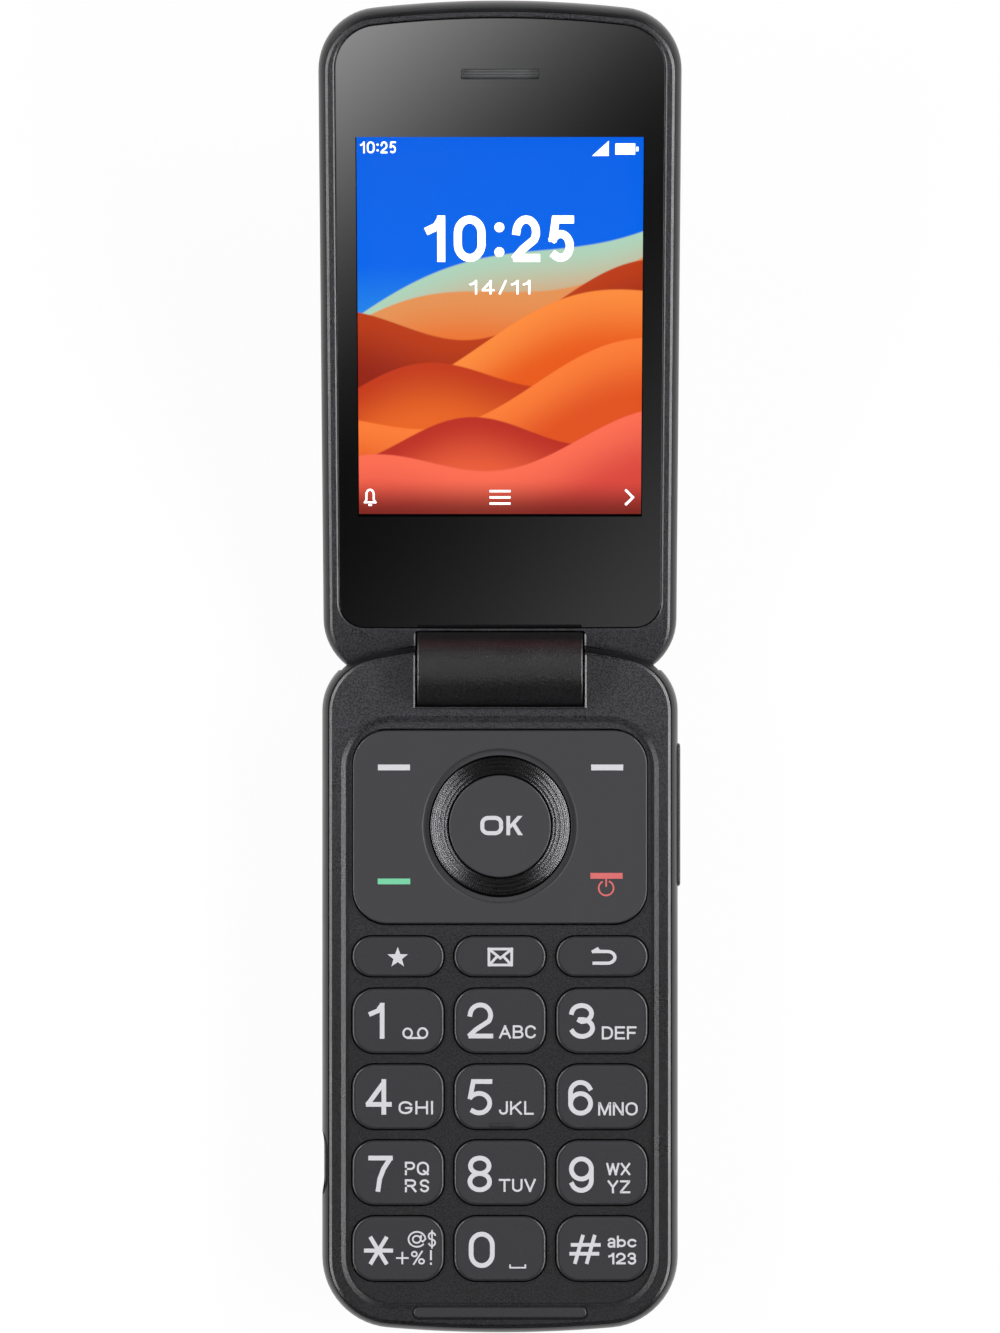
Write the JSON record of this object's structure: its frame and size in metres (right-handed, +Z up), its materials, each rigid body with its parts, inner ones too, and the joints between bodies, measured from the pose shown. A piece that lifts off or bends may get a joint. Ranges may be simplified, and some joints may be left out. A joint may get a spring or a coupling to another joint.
{
  "type": "flip phone",
  "caption": "Clamshell phone that lies open on its back: keypad base, screen lid that folds over it on a barrel hinge, sliding battery cover, side rocker and socket.",
  "frame": {"origin": "middle of the flat back of the base, on the surface that it lies on", "axes": "+X to the right, towards the volume rocker; +Y from the chin towards the lid; +Z up, out of the keypad"},
  "size_m": [0.0554, 0.2035, 0.0322],
  "materials": {
    "housing": "fine satin, near black",
    "side": "satin, warm dark grey",
    "cap": "satin, near black",
    "panel": "satin, dark grey",
    "ring": "fine crossed brushing",
    "lens": "polished, smoked at the rim",
    "display": "lit screen",
    "rubber": "matt",
    "film": "polyester film",
    "board": "solder mask",
    "metal": "plain",
    "moulding": "matt black",
    "battery": "wrapped in grey film"
  },
  "bodies": {
    "base": {"base_front_housing": "housing", "base_rear_housing": "side", "chin_bumper": "cap", "keypad_mat": "rubber", "dome_sheet": "film", "main_board": "board", "shield_can": "metal", "battery": "battery", "battery_connector": "moulding", "loudspeaker": "metal", "vibration_motor": "metal", "microphone": "metal", "usb_connector": "metal", "sim_holder": "metal", "antenna_carrier": "moulding", "hinge_shaft": "metal", "hinge_pivot_pin": "metal", "base_screw_1": "metal", "base_screw_2": "metal", "base_screw_3": "metal", "base_screw_4": "metal", "volume_switch_board": "board"},
    "lid": {"lid_front_frame": "housing", "lid_rear_cover": "side", "main_lens": "lens", "display_module": "display", "earpiece_mesh": "metal", "earpiece": "metal", "outer_lens": "lens", "outer_display": "display", "camera_module": "moulding", "lid_board": "board", "hinge_barrel": "housing", "hinge_spring": "metal", "hinge_cam": "metal", "hinge_flex": "film", "lid_screw_left": "metal", "lid_screw_right": "metal"},
    "battery_cover": {"battery_cover": "side"},
    "volume_rocker": {"volume_rocker": "cap"},
    "key_star": {"key_star": "cap"},
    "key_message": {"key_message": "cap"},
    "key_back": {"key_back": "cap"},
    "key_1": {"key_1": "cap"},
    "key_2": {"key_2": "cap"},
    "key_3": {"key_3": "cap"},
    "key_4": {"key_4": "cap"},
    "key_5": {"key_5": "cap"},
    "key_6": {"key_6": "cap"},
    "key_7": {"key_7": "cap"},
    "key_8": {"key_8": "cap"},
    "key_9": {"key_9": "cap"},
    "key_asterisk": {"key_asterisk": "cap"},
    "key_0": {"key_0": "cap"},
    "key_hash": {"key_hash": "cap"},
    "nav_panel_web": {"nav_panel_web": "rubber"},
    "nav_panel": {"nav_panel": "panel"},
    "nav_ring_web": {"nav_ring_web": "rubber"},
    "nav_ring": {"nav_ring": "ring"},
    "ok_key": {"ok_key": "cap"}
  },
  "joints": [
    {"name": "lid_hinge", "type": "hinge", "parent": "base", "child": "lid", "pos_m": [0, 0.04955, 0.0083], "axis": [1, 0, 0], "range_deg": [0, 165]},
    {"name": "battery_cover_slide", "type": "slide", "parent": "base", "child": "battery_cover", "axis": [0, -1, 0], "range_m": [0, 0.012]},
    {"name": "volume_rocker_tilt", "type": "hinge", "parent": "base", "child": "volume_rocker", "pos_m": [0.0259, 0.02717, 0.0054], "axis": [0, 0, 1], "range_deg": [-0.8, 0.8], "stiffness_Nm_per_rad": 1.1},
    {"name": "key_star_press", "type": "slide", "parent": "base", "child": "key_star", "axis": [0, 0, -1], "range_m": [0, 0.0003], "stiffness_N_per_m": 3000},
    {"name": "key_message_press", "type": "slide", "parent": "base", "child": "key_message", "axis": [0, 0, -1], "range_m": [0, 0.0003], "stiffness_N_per_m": 3000},
    {"name": "key_back_press", "type": "slide", "parent": "base", "child": "key_back", "axis": [0, 0, -1], "range_m": [0, 0.0003], "stiffness_N_per_m": 3000},
    {"name": "key_1_press", "type": "slide", "parent": "base", "child": "key_1", "axis": [0, 0, -1], "range_m": [0, 0.0003], "stiffness_N_per_m": 3000},
    {"name": "key_2_press", "type": "slide", "parent": "base", "child": "key_2", "axis": [0, 0, -1], "range_m": [0, 0.0003], "stiffness_N_per_m": 3000},
    {"name": "key_3_press", "type": "slide", "parent": "base", "child": "key_3", "axis": [0, 0, -1], "range_m": [0, 0.0003], "stiffness_N_per_m": 3000},
    {"name": "key_4_press", "type": "slide", "parent": "base", "child": "key_4", "axis": [0, 0, -1], "range_m": [0, 0.0003], "stiffness_N_per_m": 3000},
    {"name": "key_5_press", "type": "slide", "parent": "base", "child": "key_5", "axis": [0, 0, -1], "range_m": [0, 0.0003], "stiffness_N_per_m": 3000},
    {"name": "key_6_press", "type": "slide", "parent": "base", "child": "key_6", "axis": [0, 0, -1], "range_m": [0, 0.0003], "stiffness_N_per_m": 3000},
    {"name": "key_7_press", "type": "slide", "parent": "base", "child": "key_7", "axis": [0, 0, -1], "range_m": [0, 0.0003], "stiffness_N_per_m": 3000},
    {"name": "key_8_press", "type": "slide", "parent": "base", "child": "key_8", "axis": [0, 0, -1], "range_m": [0, 0.0003], "stiffness_N_per_m": 3000},
    {"name": "key_9_press", "type": "slide", "parent": "base", "child": "key_9", "axis": [0, 0, -1], "range_m": [0, 0.0003], "stiffness_N_per_m": 3000},
    {"name": "key_asterisk_press", "type": "slide", "parent": "base", "child": "key_asterisk", "axis": [0, 0, -1], "range_m": [0, 0.0003], "stiffness_N_per_m": 3000},
    {"name": "key_0_press", "type": "slide", "parent": "base", "child": "key_0", "axis": [0, 0, -1], "range_m": [0, 0.0003], "stiffness_N_per_m": 3000},
    {"name": "key_hash_press", "type": "slide", "parent": "base", "child": "key_hash", "axis": [0, 0, -1], "range_m": [0, 0.0003], "stiffness_N_per_m": 3000},
    {"name": "nav_panel_pitch", "type": "hinge", "parent": "base", "child": "nav_panel_web", "pos_m": [0, 0.0255, 0.0082], "axis": [1, 0, 0], "range_deg": [-0.6, 0.6], "stiffness_Nm_per_rad": 2.6},
    {"name": "nav_panel_roll", "type": "hinge", "parent": "nav_panel_web", "child": "nav_panel", "pos_m": [0, 0.0255, 0.0082], "axis": [0, 1, 0], "range_deg": [-0.6, 0.6], "stiffness_Nm_per_rad": 2.6},
    {"name": "nav_ring_pitch", "type": "hinge", "parent": "base", "child": "nav_ring_web", "pos_m": [0, 0.0255, 0.0082], "axis": [1, 0, 0], "range_deg": [-1, 1], "stiffness_Nm_per_rad": 0.77},
    {"name": "nav_ring_roll", "type": "hinge", "parent": "nav_ring_web", "child": "nav_ring", "pos_m": [0, 0.0255, 0.0082], "axis": [0, 1, 0], "range_deg": [-1, 1], "stiffness_Nm_per_rad": 0.77},
    {"name": "ok_key_press", "type": "slide", "parent": "base", "child": "ok_key", "axis": [0, 0, -1], "range_m": [0, 0.0003], "stiffness_N_per_m": 3000}
  ]
}
